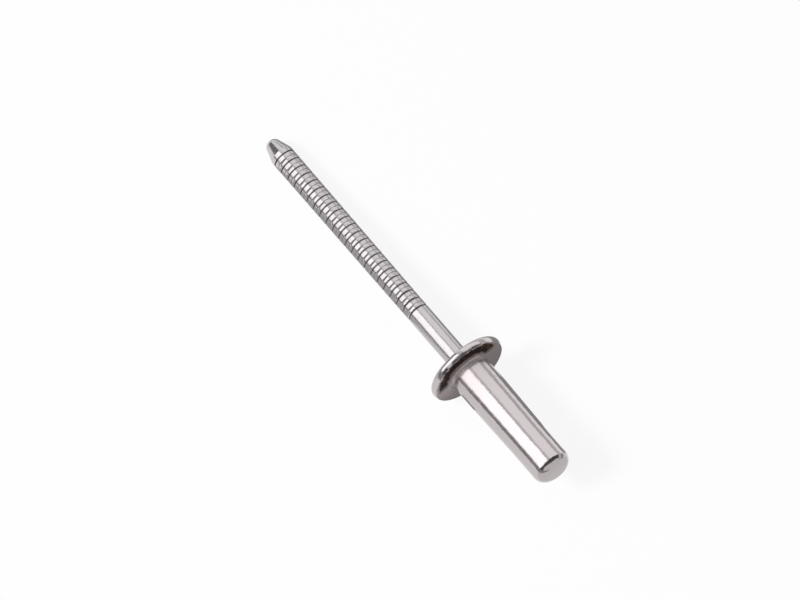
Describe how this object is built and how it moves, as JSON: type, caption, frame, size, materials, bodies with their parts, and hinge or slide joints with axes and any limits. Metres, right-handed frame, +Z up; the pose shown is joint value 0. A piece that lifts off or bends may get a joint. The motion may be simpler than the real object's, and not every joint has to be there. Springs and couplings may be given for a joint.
{
  "type": "closed-end blind rivet",
  "caption": "Closed-end blind rivet lying on its side: a flanged shell with a straight blind shank, closed round a long mandrel with rolled grip rings and a blunt tip.",
  "frame": {"origin": "centre of the flange's underside, the face that seats on the sheet, on the rivet's own axis", "axes": "+Z up as the rivet lies on a table; the rivet's axis is in the XZ plane, with the blind end towards +X and raised about 5.6 degrees, and the mandrel's tip towards -X"},
  "size_m": [0.0447, 0.008, 0.008],
  "materials": {
    "shell_steel": "polished",
    "mandrel_steel": "polished"
  },
  "bodies": {
    "root": {"rivet_body": "shell_steel", "mandrel": "mandrel_steel"}
  },
  "joints": []
}
